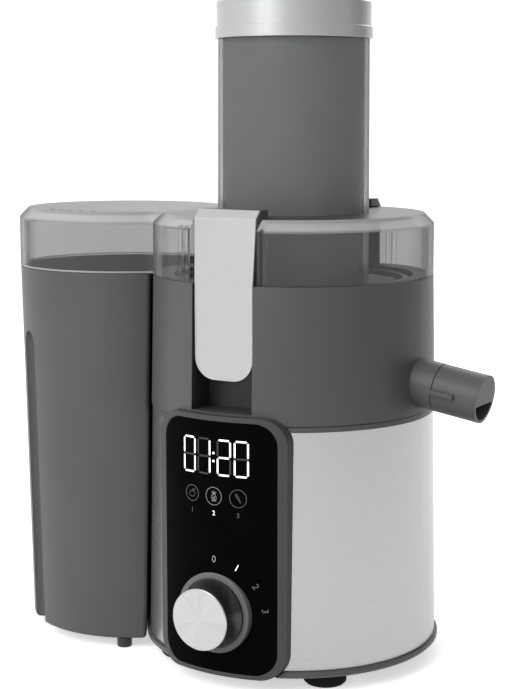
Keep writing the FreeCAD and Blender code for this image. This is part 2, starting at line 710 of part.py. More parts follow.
def lid():
    outer = lid_body(0, LID_Z)
    recess = notch(NOTCH_HALF_W, 0)
    outer = bored(outer, recess, rear(recess))
    facets = [block(-32.2, -28.6, -90, -77.2, 225, 290), block(-26.6, -23.6, -90, -78.8, 225, 290),
              block(23.6, 25.4, -90, -79.4, 225, 290)]
    for facet in facets:
        outer = bored(outer, facet, rear(facet))
    inner = lid_body(LID_T, LID_Z - 1)
    inner_recess = notch(NOTCH_HALF_W + LID_T, LID_T)
    inner = bored(inner, inner_recess, rear(inner_recess))
    shell = outer.cut(inner)
    tube = turned([(0, CHUTE_END_Z), (CHUTE_R_LOW, CHUTE_END_Z), (CHUTE_R_LOW, 236), (CHUTE_R_LOW, LID_TOP_Z),
                   (CHUTE_R_TOP, CHUTE_TOP_Z), (0, CHUTE_TOP_Z)])
    shell = joined(shell, tube)
    return shell.cut(Part.makeCylinder(CHUTE_BORE_R, 300, Vector(0, 0, CHUTE_END_Z - 10)))


# ---- Pusher
def pusher_body():
    wall = 2.0
    edge = 1.5
    top = CAP_Z + 1.5
    return turned([(0, PUSHER_Z), (PUSHER_R_LOW - edge, PUSHER_Z), (PUSHER_R_LOW, PUSHER_Z + edge),
                   (PUSHER_R_TOP, CAP_Z), (PUSHER_R_TOP, top), (PUSHER_R_TOP - wall, top),
                   (PUSHER_R_LOW - wall, PUSHER_Z + wall), (0, PUSHER_Z + wall)])


def pusher_cap():
    edge = 0.8
    wall = 2.4
    inner = PUSHER_R_TOP + 0.02
    return turned([(inner, CAP_Z), (CAP_RING_R, CAP_Z), (CAP_RING_R, CAP_STEP_Z - 0.4),
                   (CAP_RING_R - 0.4, CAP_STEP_Z), (CAP_R, CAP_STEP_Z), (CAP_R, CAP_TOP_Z - edge),
                   (CAP_R - edge, CAP_TOP_Z), (0, CAP_TOP_Z), (0, CAP_TOP_Z - wall), (CAP_R - wall, CAP_TOP_Z - wall),
                   (CAP_R - wall, CAP_Z + 1.6), (inner, CAP_Z + 1.6)])


# ---- Pulp container
def leaning(radius, inset_z, top_z):
    """A round column that follows the container's lean."""
    lean = (BIN_X_TOP - BIN_X_LOW) / (BIN_TOP_Z - BIN_Z)
    wires = []
    for z in (BIN_Z + inset_z, top_z):
        centre = Vector(BIN_X_LOW + lean * (z - BIN_Z), 0, z)
        wires.append(Part.Wire(Part.makeCircle(radius, centre, UP)))
    return Part.makeLoft(wires, True, True)


def groove(radius, side):
    """The finger groove: an upright round channel that ends in a dome."""
    turn = math.radians(GROOVE_TURN)
    reach = BIN_R + 1.5
    lean = (BIN_X_TOP - BIN_X_LOW) / (BIN_TOP_Z - BIN_Z)
    y = side * reach * math.sin(turn)

    def point(z):
        return Vector(BIN_X_LOW + reach * math.cos(turn) + lean * (z - BIN_Z), y, z)
    start = point(BIN_Z - 5)
    end = point(GROOVE_TOP_Z)
    run = end - start
    return Part.makeCylinder(radius, run.Length, start, run).fuse(Part.makeSphere(radius, end))


def nest(wall):
    return Part.makeCone(BIN_NEST_R_LOW + wall, BIN_NEST_R_TOP + wall, BIN_NEST_H)


def pulp_container():
    outer = leaning(BIN_R, 0, BIN_TOP_Z)
    outer = outer.cut(nest(0))
    corners = [e for e in outer.Edges if e.BoundBox.ZLength > 200 and e.BoundBox.XLength < 8]
    outer = outer.makeFillet(BIN_CORNER, corners)
    bottom = [e for e in outer.Edges if e.BoundBox.ZMax < BIN_Z + 0.1]
    outer = outer.makeFillet(2.5, bottom)
    inner = leaning(BIN_R - BIN_T, BIN_T + 0.3, BIN_TOP_Z + 5)
    inner = inner.cut(nest(BIN_T))
    inner = bored(inner, groove(GROOVE_R + BIN_T, 1), groove(GROOVE_R + BIN_T, -1))
    return bored(outer, groove(GROOVE_R, 1), groove(GROOVE_R, -1), inner)


def container_foot(x, y):
    pad = turned([(0, 0), (4.0, 0), (4.6, 0.7), (4.6, BIN_Z), (0, BIN_Z)])
    pad.translate(Vector(x, y, 0))
    return pad


# ---- Electronics
def display_board():
    board = block(-25, 25, -80.4, -78.8, 96, 144)
    digits = block(-22, 22, -84.6, -80.4, 122, 144)
    chip = block(-7, 7, -78.8, -76.6, 102, 114)
    return joined(board, digits, chip)


def power_board():
    board = block(-34, 34, 60.0, 61.6, 24, 96)
    parts = [block(-26, -12, 46, 60, 32, 56), block(4, 22, 50, 60, 30, 48), block(-24, 20, 52, 60, 66, 84)]
    parts.append(rod(6, (27, 60, 60), (27, 50, 60)))
    return joined(board, *parts)


def interlock_switch():
    case = block(46, 66, 28, 36, 132, 146)
    lever = block(50, 64, 30, 34, 146, SKIN_TOP_Z - DECK_T)
    return joined(case, lever)


def cord_gland():
    r = 7.5
    body = rod(r, (0, 78, CORD_Z), (0, 90.4, CORD_Z))
    flange = rod(10.5, (0, 88.4, CORD_Z), (0, 91.4, CORD_Z))
    flange = flange.cut(skin_cone(-0.1, RING_TOP_Z, SKIN_TOP_Z))
    return joined(body, flange).cut(rod(3.4, (0, 70, CORD_Z), (0, 95, CORD_Z)))


# ---- Write every piece
save("rubber_feet", *around(foot(), 4, 45))
save("base_tray", base_tray())
save("base_screws", *around(base_screw(), SCREWS, 90))
save("steel_skin", steel_skin())
save("motor_housing", motor_housing())
save("top_collar", top_collar())
save("control_bezel", control_bezel())
save("display_glass", display_glass())
save("display_board", display_board())
save("power_board", power_board())
save("interlock_switch", interlock_switch())
save("cord_gland", cord_gland())

save("rotary_switch", switch_body())
save("knob_ring", knob_ring())
save("knob_body", knob_body())
save("knob_face", knob_face())
save("switch_spindle", rod(SPINDLE_R, (0, -66.5, KNOB_Z), (0, -KNOB_FACE_Y + KNOB_FACE_T, KNOB_Z)))

save("stator_core", stator_core())
save("field_windings", *around(field_winding(), 2, 0))
save("lower_bracket", lower_bracket())
save("upper_bracket", upper_bracket())
save("motor_bolts", *bolts())
save("lower_bearing", bearing(25.0, 32.0))
save("upper_bearing", bearing(UPPER_BRACKET_Z - 5, UPPER_BRACKET_Z + 3))
holder, brush = brush_set()
save("brush_holders", *around(holder, 2, 0))
save("carbon_brushes", *around(brush, 2, 0))
save("motor_mounts", *around(motor_mount(), 4, 0))
save("shaft_seal", shaft_seal())

save("motor_shaft", motor_shaft())
save("armature_core", armature_core())
save("armature_winding", armature_winding())
save("commutator", commutator())
save("cooling_fan", cooling_fan())
save("drive_coupling", drive_coupling())
save("basket_frame", basket_frame())
save("basket_mesh", basket_mesh())
save("grater_disc", grater_disc())

save("juice_bowl", juice_bowl())
save("spout", spout())
save("spout_o_ring", spout_o_ring())
save("lid", lid())
save("pusher_body", pusher_body())
save("pusher_cap", pusher_cap())
save("front_latch_arm", latch_arm())
save("front_latch_cover", latch_cover())
save("front_latch_pin", pin())
save("rear_latch_arm", rear(latch_arm()))
save("rear_latch_cover", rear(latch_cover()))
save("rear_latch_pin", rear(pin()))
save("pulp_container", pulp_container())
save("container_feet", *[container_foot(x, y) for x, y in ((-88, -56), (-88, 56), (-158, -37), (-158, 37))])
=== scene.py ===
# %% [markdown]
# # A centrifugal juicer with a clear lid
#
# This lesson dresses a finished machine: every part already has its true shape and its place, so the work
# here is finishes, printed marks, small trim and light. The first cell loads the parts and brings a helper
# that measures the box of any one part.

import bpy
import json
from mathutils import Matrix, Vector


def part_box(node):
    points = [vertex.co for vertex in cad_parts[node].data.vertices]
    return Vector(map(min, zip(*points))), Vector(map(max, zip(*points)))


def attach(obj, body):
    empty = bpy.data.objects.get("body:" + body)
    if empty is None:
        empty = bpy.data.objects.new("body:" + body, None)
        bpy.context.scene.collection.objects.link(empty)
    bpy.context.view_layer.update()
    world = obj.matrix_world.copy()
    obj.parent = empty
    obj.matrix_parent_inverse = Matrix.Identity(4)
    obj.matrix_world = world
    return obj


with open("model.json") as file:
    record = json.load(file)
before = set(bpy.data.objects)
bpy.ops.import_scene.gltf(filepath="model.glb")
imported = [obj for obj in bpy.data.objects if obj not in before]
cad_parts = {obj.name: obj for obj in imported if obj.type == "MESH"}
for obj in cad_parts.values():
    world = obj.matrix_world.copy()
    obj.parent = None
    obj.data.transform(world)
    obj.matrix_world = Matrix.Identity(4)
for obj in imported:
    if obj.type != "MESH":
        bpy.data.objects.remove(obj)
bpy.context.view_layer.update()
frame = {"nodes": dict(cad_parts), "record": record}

# %% [markdown]
# ## Sums on shader values
#
# A finish is worked out from noise, distance and position, so it needs sums. In the shader editor each sum
# is a Math node with wires. A small class that holds one socket and knows plus, minus, times and so on lets
# the same thing be written as a line of arithmetic, and each operator adds its node by itself.

# %% One socket that can be added and multiplied
import math
import bpy
import bmesh
from mathutils import Matrix, Vector


class Value:
    """One output socket of a material's nodes."""

    def __init__(self, tree, socket):
        self.tree = tree
        self.socket = socket

    def math(self, operation, other=None, flipped=False):
        node = self.tree.nodes.new("ShaderNodeMath")
        node.operation = operation
        pair = [self] if other is None else ([other, self] if flipped else [self, other])
        for item, slot in zip(pair, node.inputs):
            feed(self.tree, item, slot)
        return Value(self.tree, node.outputs[0])

    def __add__(self, other):
        return self.math("ADD", other)

    def __sub__(self, other):
        return self.math("SUBTRACT", other)

    def __rsub__(self, other):
        return self.math("SUBTRACT", other, flipped=True)

    def __mul__(self, other):
        return self.math("MULTIPLY", other)

    def __truediv__(self, other):
        return self.math("DIVIDE", other)

    def __pow__(self, other):
        return self.math("POWER", other)

    __radd__ = __add__
    __rmul__ = __mul__


def feed(tree, item, slot):
    """Gives a socket a link or a plain value."""
    if isinstance(item, Value):
        tree.links.new(item.socket, slot)
    elif isinstance(slot.default_value, (int, float)):
        slot.default_value = item
    elif len(slot.default_value) == 4 and len(item) == 3:
        slot.default_value = (*item, 1.0)
    else:
        slot.default_value = item


# %% [markdown]
# ## Adding any other node
#
# Sums add their own nodes, but noise, masks and mixes are nodes too. One method takes a node's type, its
# settings and what goes into its sockets, and gives back the output as a value, so a material reads from top
# to bottom like a recipe.

# %% One method for every other node
class NodeTree:
    """The nodes of a material or of the world."""

    def __init__(self, tree):
        self.tree = tree

    def node(self, kind, settings=None, inputs=None, output=0):
        made = self.tree.nodes.new(kind)
        for key, value in (settings or {}).items():
            setattr(made, key, value)
        for key, value in (inputs or {}).items():
            feed(self.tree, value, made.inputs[key])
        return Value(self.tree, made.outputs[output])


# %% [markdown]
# ## One material at a time
#
# Every finish below needs the same few things: the surface's own coordinates, some noise, a mask for the
# edges, a soft rounding of sharp corners, and bump. They could be copied into each material, but a class
# keeps them in one place. Coordinates are the object's own, in metres, so a grain of 0.3 mm is 0.3 mm on
# every part, and the pattern stays on the part when it moves.

# %% The finish class
class Finish(NodeTree):
    """A Principled material that is built up from node expressions."""

    names = []

    def __init__(self, name, **constants):
        self.material = bpy.data.materials.new(name)
        self.material.use_nodes = True
        self.names.append(name)
        super().__init__(self.material.node_tree)
        self.shader = self.tree.nodes["Principled BSDF"]
        self.place = self.node("ShaderNodeTexCoord", output="Object")
        for key, value in constants.items():
            self.put(key.replace("_", " "), value)

    def put(self, socket, value):
        feed(self.tree, value, self.shader.inputs[socket])

    def stretched(self, x, y, z):
        return self.node("ShaderNodeVectorMath", {"operation": "MULTIPLY"}, {0: self.place, 1: (x, y, z)})

    def noise(self, scale, detail=2.0, rough=0.5, place=None):
        inputs = {"Vector": place or self.place, "Scale": scale, "Detail": detail, "Roughness": rough}
        return self.node("ShaderNodeTexNoise", None, inputs)

    def ramp(self, value, low, high):
        """Turns a value between low and high into 0 to 1."""
        limits = {"Value": value, "From Min": low, "From Max": high}
        return self.node("ShaderNodeMapRange", {"clamp": True}, limits)

    def blend(self, factor, first, second):
        """A colour between two colours."""
        settings = {"data_type": "RGBA"}
        return self.node("ShaderNodeMix", settings, {0: factor, 6: first, 7: second}, output=2)

    def round_normal(self, radius):
        return self.node("ShaderNodeBevel", {"samples": 4}, {"Radius": radius})

    def edges(self, radius):
        """1 on sharp corners and 0 on flat faces."""
        flat = self.node("ShaderNodeNewGeometry", output="Normal")
        dot = self.node("ShaderNodeVectorMath", {"operation": "DOT_PRODUCT"},
                        {0: self.round_normal(radius), 1: flat}, output="Value")
        return self.ramp(1.0 - dot, 0.01, 0.12)

    def bump(self, height, depth, strength=1.0, normal=None):
        inputs = {"Height": height, "Distance": depth, "Strength": strength}
        if normal is not None:
            inputs["Normal"] = normal
        self.put("Normal", self.node("ShaderNodeBump", None, inputs))

    def axis_part(self, axis):
        return self.node("ShaderNodeSeparateXYZ", None, {0: self.place}, output=axis)

    def normal_part(self, axis):
        normal = self.node("ShaderNodeTexCoord", output="Normal")
        return self.node("ShaderNodeSeparateXYZ", None, {0: normal}, output=axis)

    def open_sky(self, distance):
        """1 in the open and lower inside narrow gaps and corners; the finishes darken colour by it as painted
        shade.
        """
        return self.node("ShaderNodeAmbientOcclusion", {"samples": 4}, {"Distance": distance}, output="AO")

    def veil(self, mask, shade, rough):
        """Lays a second, milky surface over the first where the mask is 1."""
        milky = self.node("ShaderNodeBsdfPrincipled", None, {"Base Color": shade, "Roughness": rough})
        under = Value(self.tree, self.shader.outputs["BSDF"])
        both = self.node("ShaderNodeMixShader", None, {0: mask, 1: under, 2: milky})
        feed(self.tree, both, self.tree.nodes["Material Output"].inputs["Surface"])


def shaded(colour, factor, extra=0.0):
    """The same colour, lighter or darker."""
    return tuple(min(1.0, c * factor + extra) for c in colour)


def tell_finishes():
    """Prints the finishes that were made since the last time."""
    print("finishes:", ", ".join(Finish.names))
    Finish.names.clear()


# %% [markdown]
# ## Moulded grey plastic
#
# The bowl, the pulp container, the panel's frame and the base are injection moulded in a mid grey with a
# satin spark finish. Such a surface is not smooth paint: it has a very fine grain, its gloss wanders a
# little, and corners that hands touch are polished slightly lighter. A noise at grain size goes to bump, a
# slow noise goes to colour and roughness, and the edge mask lightens the corners. Deep hollows, such as the
# recesses behind the latches and the slot openings in the housing, get a painted shade: an occlusion mask
# darkens their colour to stand in for the shadow that falls there.

# %% Satin plastics
RECESS_HALF = 0.0203
RECESS_FLOOR_Y = 0.0635
RECESS_HEIGHTS = (0.16, 0.2405)
RECESS_REACH = 0.03
SLOT_REACH = 0.004
PAINTED_SHADE_LEVEL = 0.22
SLOW_PATCHES = 14.0
WORN_PATCHES = 240.0
SPARK_GRAIN = 3200.0


def latch_recess(finish):
    """1 on the walls behind the latches, where a painted shade darkens the colour."""
    across = finish.axis_part("X").math("ABSOLUTE")
    deep = finish.axis_part("Y").math("ABSOLUTE")
    up = finish.axis_part("Z")
    box = (across.math("LESS_THAN", RECESS_HALF) * deep.math("GREATER_THAN", RECESS_FLOOR_Y)
           * up.math("GREATER_THAN", RECESS_HEIGHTS[0]) * up.math("LESS_THAN", RECESS_HEIGHTS[1]))
    return box * finish.ramp(finish.open_sky(RECESS_REACH), 0.85, 0.35)


def slots(finish):
    """1 deep inside narrow gaps, where a painted shade darkens the colour."""
    return finish.ramp(finish.open_sky(SLOT_REACH), 0.4, 0.0)


def moulded(name, shade, rough, grain=0.35, wear=0.18, corner=0.0005, painted_shade=None):
    """Satin injection moulding; shade is a linear colour, grain the height of the spark finish."""
    finish = Finish(name, IOR=1.46)
    slow = finish.ramp(finish.noise(SLOW_PATCHES, 3.0), 0.3, 0.7)
    edge = finish.edges(corner) * finish.ramp(finish.noise(WORN_PATCHES), 0.35, 0.65)
    worn = shaded(shade, 1.0 + 2.0 * wear, 0.01)
    body = finish.blend(slow, shaded(shade, 0.94), shaded(shade, 1.06))
    # Painted shade: where the mask is 1 the colour is darkened, for the shadow inside hollows.
    if painted_shade:
        body = finish.blend(painted_shade(finish), body, shaded(shade, PAINTED_SHADE_LEVEL))
    finish.put("Base Color", finish.blend(edge * wear, body, worn))
    finish.put("Roughness", slow * 0.05 + (rough - 0.02) - edge * 0.06)
    finish.bump(finish.noise(SPARK_GRAIN, 1.0), 0.00002, grain, finish.round_normal(corner))
    return finish.material


satin_grey = moulded("satin_grey", (0.096, 0.097, 0.099), 0.44, painted_shade=slots)
bin_grey = moulded("bin_grey", (0.094, 0.095, 0.097), 0.44)
bowl_grey = moulded("bowl_grey", (0.096, 0.097, 0.099), 0.42, painted_shade=latch_recess)
bezel_grey = moulded("bezel_grey", (0.055, 0.056, 0.057), 0.46)
pusher_grey = moulded("pusher_grey", (0.25, 0.251, 0.254), 0.36)
basket_grey = moulded("basket_grey", (0.125, 0.126, 0.13), 0.4)
ring_grey = moulded("ring_grey", (0.17, 0.171, 0.173), 0.34, corner=0.0003)
housing_black = moulded("housing_black", (0.03, 0.03, 0.032), 0.5)
peg_black = moulded("peg_black", (0.03, 0.03, 0.031), 0.5)
glass_filled = moulded("glass_filled_black", (0.022, 0.022, 0.023), 0.55, grain=0.7)
tell_finishes()

# %% [markdown]
# ## Rubber
#
# The feet, the seals and the cord gland are soft black rubber. Rubber is nearly black, spreads its
# highlights wide, and holds a trace of pale dust on its raised parts, so the colour is mixed with a dusty
# grey by noise.

# %% Rubber
def rubber():
    finish = Finish("black_rubber", Specular_IOR_Level=0.15)
    dust = finish.ramp(finish.noise(90.0, 5.0, 0.65), 0.5, 0.8)
    finish.put("Base Color", finish.blend(dust * 0.35, (0.004, 0.004, 0.004), (0.02, 0.0196, 0.019)))
    finish.put("Roughness", dust * 0.15 + 0.68)
    finish.bump(finish.noise(1400.0, 3.0), 0.00004, 0.5, finish.round_normal(0.0006))
    return finish.material


black_rubber = rubber()
tell_finishes()

# %% [markdown]
# ## Brushed steel skin
#
# The housing wears a thin sleeve of stainless sheet, brushed around the drum. Brushing leaves short hair
# lines all in one direction. Stretching a noise a long way around and squeezing it in height gives those
# lines: they go to bump, to roughness and a little to colour, so the metal blurs reflections more one way
# than the other, as the real sheet does.

# %% Brushed steel
def brushed(name, shade, rough, metal=1.0, depth=0.000012):
    """Sheet metal with hair lines that run level around the part."""
    finish = Finish(name)
    lines = finish.noise(1.0, 4.0, 0.7, finish.stretched(35.0, 35.0, 9000.0))
    streak = finish.noise(1.0, 2.0, 0.5, finish.stretched(12.0, 12.0, 700.0))
    edge = finish.edges(0.0004)
    hair = finish.ramp(lines, 0.3, 0.7)
    sheet = finish.blend(hair * 0.6 + streak * 0.4, shaded(shade, 0.93), shade)
    finish.put("Base Color", finish.blend(edge * 0.5, sheet, (0.9, 0.9, 0.9)))
    finish.put("Metallic", metal)
    finish.put("Roughness", hair * 0.08 + rough)
    finish.bump(lines, depth, 0.6, finish.round_normal(0.0003))
    return finish.material


steel_sleeve = brushed("brushed_steel", (0.445, 0.445, 0.449), 0.25, metal=0.9)
tell_finishes()

# %% [markdown]
# ## Silver plastic and lacquer
#
# The latch covers and the pusher's cap are plastic with a silver lacquer. Metal flakes lie in it at random,
# each a fraction of a millimetre, so it glitters only faintly. A cell noise gives every flake its own shade.
# It is only partly metallic, because the flakes hang in clear lacquer rather than form a sheet. The knob's
# dark side takes the same recipe.

# %% Silver lacquer
FLAKE_CELLS = 2600.0


def lacquer(name, shade, rough, metal):
    finish = Finish(name, Coat_Roughness=0.2)
    cells = {"Vector": finish.place, "Scale": FLAKE_CELLS}
    flake = finish.node("ShaderNodeTexVoronoi", None, cells, output="Color")
    bright = finish.node("ShaderNodeSeparateColor", None, {0: flake})
    slow = finish.noise(9.0, 2.0)
    edge = finish.edges(0.0005)
    coat = finish.blend(bright * 0.6 + slow * 0.4, shaded(shade, 0.95), shaded(shade, 1.05))
    finish.put("Base Color", finish.blend(edge * 0.35, coat, (0.82, 0.82, 0.83)))
    finish.put("Metallic", metal)
    finish.put("Roughness", slow * 0.06 + rough)
    finish.put("Coat Weight", 0.15)
    finish.bump(finish.noise(2400.0, 1.0), 0.00001, 0.25, finish.round_normal(0.0005))
    return finish.material


latch_silver = lacquer("latch_silver", (0.54, 0.54, 0.548), 0.38, 0.45)
cap_silver = lacquer("cap_silver", (0.6, 0.6, 0.61), 0.34, 0.6)
knob_side = lacquer("knob_side_metal", (0.055, 0.055, 0.057), 0.28, 0.75)
tell_finishes()

# %% [markdown]
# ## Smoke-clear lid
#
# The lid and its chute are one clear moulding with a grey tint. Two ways lead there: fading the surface out
# with alpha, or real transmission. Alpha is quick but loses the darker edges that make thick plastic read as
# plastic, so this one transmits. Light passes two surfaces in each wall, and the tint is set for that. The
# index of refraction is low, so the walls tint what stands behind them and hardly bend it.
#
# The moulding isn't clear everywhere. The seam of the round lobe over the container is frosted, the deck
# turns milky where it is seen at a low angle, and each wall has a dark line where it turns away. The sloped
# edge round the deck gets a painted reflection: a pale milky layer in place of the bright light above that
# it mirrors. A second, milky surface is laid over the clear one in all these places. The narrow waist between
# bowl and container is tinted darker, because more walls stand one behind another there.

# %% Smoke-clear plastic
LID_SEAM_Z = 0.2339
LID_DECK_Z = 0.262
WAIST_X = (-0.0675, -0.06)
WAIST_Y = (0.039, 0.041)
LOBE_X = (-0.055, -0.075)
MILKY_ALL_OVER = 0.085


def smoke_clear():
    finish = Finish("smoke_clear", IOR=1.07, Transmission_Weight=1.0)
    across = finish.axis_part("X")
    side = finish.axis_part("Y").math("ABSOLUTE")
    up = finish.axis_part("Z")
    rise = finish.normal_part("Z")
    haze = finish.ramp(finish.noise(30.0, 4.0), 0.45, 0.75)
    clear = finish.blend(haze * 0.5, (0.6, 0.604, 0.604), (0.56, 0.564, 0.564))
    graze = finish.node("ShaderNodeLayerWeight", None, {"Blend": 0.5}, output="Facing")
    tinted = finish.blend(finish.ramp(graze, 0.45, 0.95), clear, (0.16, 0.161, 0.161))
    waist = finish.ramp(across, WAIST_X[0] - 0.0004, WAIST_X[0])
    waist = waist * finish.ramp(across, WAIST_X[1], WAIST_X[1] - 0.004)
    waist = waist * finish.ramp(side, *WAIST_Y) * finish.ramp(up, LID_DECK_Z, LID_DECK_Z - 0.001)
    tinted = finish.blend(waist, tinted, (0.05, 0.05, 0.05))
    finish.put("Base Color", finish.blend(finish.edges(0.0005) * 0.8, tinted, (0.2, 0.2, 0.2)))
    finish.put("Roughness", haze * 0.03 + 0.015)
    finish.bump(finish.noise(60.0, 2.0), 0.00002, 0.15)
    high = finish.ramp(up, LID_DECK_Z - 0.0005, LID_DECK_Z + 0.0005)
    # The sloped edge round the deck gets the pale milky layer below as a painted reflection of the light
    # above.
    chamfer_painted_reflection = finish.ramp(rise, 0.35, 0.5) * finish.ramp(rise, 0.95, 0.85) * high
    lobe = finish.ramp(across, *LOBE_X)
    deck = finish.ramp(rise, 0.95, 0.99) * high
    seam = finish.ramp(up, LID_SEAM_Z, LID_SEAM_Z - 0.0002) * lobe
    skim = deck * finish.ramp(graze, 0.35, 0.75)
    rim = finish.ramp(graze, 0.62, 0.86) * (1.0 - deck)
    pale = finish.blend(rim, (0.6, 0.605, 0.605), (0.09, 0.091, 0.091))
    milky = finish.blend(deck, pale, finish.blend(lobe, (0.05, 0.0505, 0.0505), (0.15, 0.1515, 0.1515)))
    milky_veil_and_painted_reflection = chamfer_painted_reflection * 0.45 + skim * (0.82 - lobe * 0.14) + seam * 0.6 + rim * 0.9
    finish.veil(milky_veil_and_painted_reflection + MILKY_ALL_OVER, milky, 0.4)
    return finish.material


clear_lid = smoke_clear()
tell_finishes()

# %% [markdown]
# ## Black glass panel
#
# The control panel is a curved black glass. Its whole look is in what it mirrors, so the base is almost
# black, and only a faint film of finger grease changes the gloss from place to place.

# %% Black glass
def panel_glass():
    finish = Finish("panel_glass", IOR=1.45, Specular_IOR_Level=0.015)
    smear = finish.ramp(finish.noise(45.0, 5.0, 0.6), 0.4, 0.8)
    finish.put("Base Color", finish.blend(smear, (0.0012, 0.0016, 0.0015), (0.0022, 0.0027, 0.0026)))
    finish.put("Roughness", smear * 0.1 + 0.08)
    finish.bump(finish.noise(25.0, 2.0), 0.00001, 0.2, finish.round_normal(0.0003))
    return finish.material


black_glass = panel_glass()
tell_finishes()

# %% [markdown]
# ## Spun knob face
#
# The knob's front is aluminium turned on a lathe: the tool leaves rings a few hundredths of a millimetre
# apart around the middle. The rings depend only on the distance from the knob's own axis, so that distance
# is worked out from X and Z, and a noise of it alone gives rings of uneven width. A second noise follows the
# angle and paints bright and dark wedges into the colour: a painted sheen, in place of the light that such a
# face mirrors.

# %% Spun aluminium
dial_low, dial_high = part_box("knob_face")
dial_height = (dial_low.z + dial_high.z) / 2


def line_noise(finish, along, scale, **inputs):
    """Noise that follows a single value."""
    inputs.update({"W": along, "Scale": scale})
    return finish.node("ShaderNodeTexNoise", {"noise_dimensions": "1D"}, inputs)


def spun_face():
    finish = Finish("spun_aluminium")
    across = finish.axis_part("X")
    up = finish.axis_part("Z") - dial_height
    radius = (across * across + up * up) ** 0.5
    angle = up.math("ARCTAN2", across)
    rings = line_noise(finish, radius, 5200.0, Detail=3.0, Roughness=0.7)
    painted_sheen_wedge = line_noise(finish, angle, 1.6, Detail=2.0)
    # The colour mixes the real lathe rings with the painted sheen of bright and dark wedges round the axis.
    shade = finish.ramp(rings * 0.5 + painted_sheen_wedge * 0.5, 0.3, 0.7)
    finish.put("Base Color", finish.blend(shade, (0.47, 0.47, 0.474), (0.6, 0.6, 0.604)))
    finish.put("Metallic", 0.8)
    finish.put("Roughness", rings * 0.12 + 0.26)
    finish.bump(rings, 0.00002, 0.6, finish.round_normal(0.0002))
    return finish.material


knob_metal = spun_face()
tell_finishes()
print("knob axis height mm:", round(dial_height * 1000, 1))

# %% [markdown]
# ## Machine metals
#
# Inside are ground shafts and bearings, zinc castings, stacks of steel sheets, enamelled copper and the
# green boards. They show only through the vents and when parts move, but each still gets its own surface:
# fine turning lines, casting grain, the edges of the sheets in a stack, or the lay of the wires.

# %% Inner metals
def ground_metal(name, shade, rough):
    finish = Finish(name)
    scratch = finish.noise(1.0, 3.0, 0.6, finish.stretched(300.0, 300.0, 5000.0))
    edge = finish.edges(0.0002)
    finish.put("Base Color", finish.blend(edge * 0.5 + scratch * 0.3, shade, shaded(shade, 1.3)))
    finish.put("Metallic", 1.0)
    finish.put("Roughness", scratch * 0.15 + rough)
    finish.bump(scratch, 0.00001, 0.5, finish.round_normal(0.0002))
    return finish.material


def cast_metal(name, shade):
    finish = Finish(name)
    skin = finish.noise(900.0, 4.0, 0.65)
    finish.put("Base Color", finish.blend(skin, shaded(shade, 0.8), shaded(shade, 1.15)))
    finish.put("Metallic", 0.9)
    finish.put("Roughness", skin * 0.2 + 0.42)
    finish.bump(skin, 0.00005, 0.7, finish.round_normal(0.0005))
    return finish.material


def stacked(name, shade, pitch, metal, rough):
    """Thin layers or wires that lie level, one above another."""
    finish = Finish(name)
    layer = (finish.axis_part("Z") * (2 * math.pi / pitch)).math("SINE")
    spots = finish.noise(400.0, 3.0)
    light = finish.ramp(layer * 0.5 + spots, 0.1, 1.2)
    finish.put("Base Color", finish.blend(light, shaded(shade, 0.55), shaded(shade, 1.2)))
    finish.put("Metallic", metal)
    finish.put("Roughness", spots * 0.2 + rough)
    finish.bump(layer, pitch * 0.25, 0.8)
    return finish.material


def board():
    finish = Finish("green_board")
    cells = finish.node("ShaderNodeTexVoronoi", {"feature": "DISTANCE_TO_EDGE"},
                        {"Vector": finish.place, "Scale": 260.0})
    track = 1.0 - finish.ramp(cells, 0.02, 0.06)
    finish.put("Base Color", finish.blend(track, (0.02, 0.11, 0.05), (0.05, 0.24, 0.11)))
    finish.put("Roughness", 0.5 - track * 0.15)
    finish.bump(track, 0.00003, 0.5, finish.round_normal(0.0003))
    return finish.material


ground_steel = ground_metal("ground_steel", (0.6, 0.6, 0.61), 0.2)
zinc = cast_metal("cast_zinc", (0.5, 0.5, 0.51))
sheets = stacked("steel_sheets", (0.25, 0.25, 0.26), 0.0006, 0.8, 0.42)
windings = stacked("copper_windings", (0.72, 0.33, 0.14), 0.0007, 0.9, 0.3)
carbon = cast_metal("pressed_carbon", (0.03, 0.03, 0.031))
green_board = board()
tell_finishes()

# %% [markdown]
# ## The filter sheet
#
# The basket is lined with an etched steel sheet full of holes half a millimetre wide. Cutting thousands of
# holes would make a heavy mesh, so the holes are an alpha pattern: the angle round the axis and the height
# give a grid, and every second row is shifted by half a step.

# %% Etched filter sheet
HOLES_AROUND = 600
HOLE_ROW = 0.0009


def filter_sheet():
    finish = Finish("etched_filter", Metallic=1.0)
    x, y, z = (finish.axis_part(axis) for axis in "XYZ")
    around = y.math("ARCTAN2", x) * (HOLES_AROUND / math.tau)
    row = z / HOLE_ROW
    level = row.math("FLOOR")
    shift = (level / 2.0).math("FRACT")
    u = (around + shift).math("FRACT") - 0.5
    v = row.math("FRACT") - 0.5
    distance = (u * u + v * v) ** 0.5
    hole = finish.ramp(distance, 0.24, 0.3)
    rim = finish.ramp(distance, 0.3, 0.42)
    finish.put("Base Color", finish.blend(rim, (0.4, 0.4, 0.41), (0.66, 0.66, 0.67)))
    finish.put("Roughness", 0.42 - rim * 0.12)
    finish.put("Alpha", hole)
    finish.bump(rim, 0.00005, 0.6)
    return finish.material


etched = filter_sheet()
grater = brushed("grater_steel", (0.62, 0.62, 0.63), 0.28)
tell_finishes()

# %% [markdown]
# ## Dressing the parts
#
# Each part from the frame has one material slot. The record already sorts the parts by finish, so a table
# from the record's slot name to the material made above dresses all of them. Five parts get a finish of
# their own instead: the filter, the grater, the panel's frame, the pulp container and the bowl.

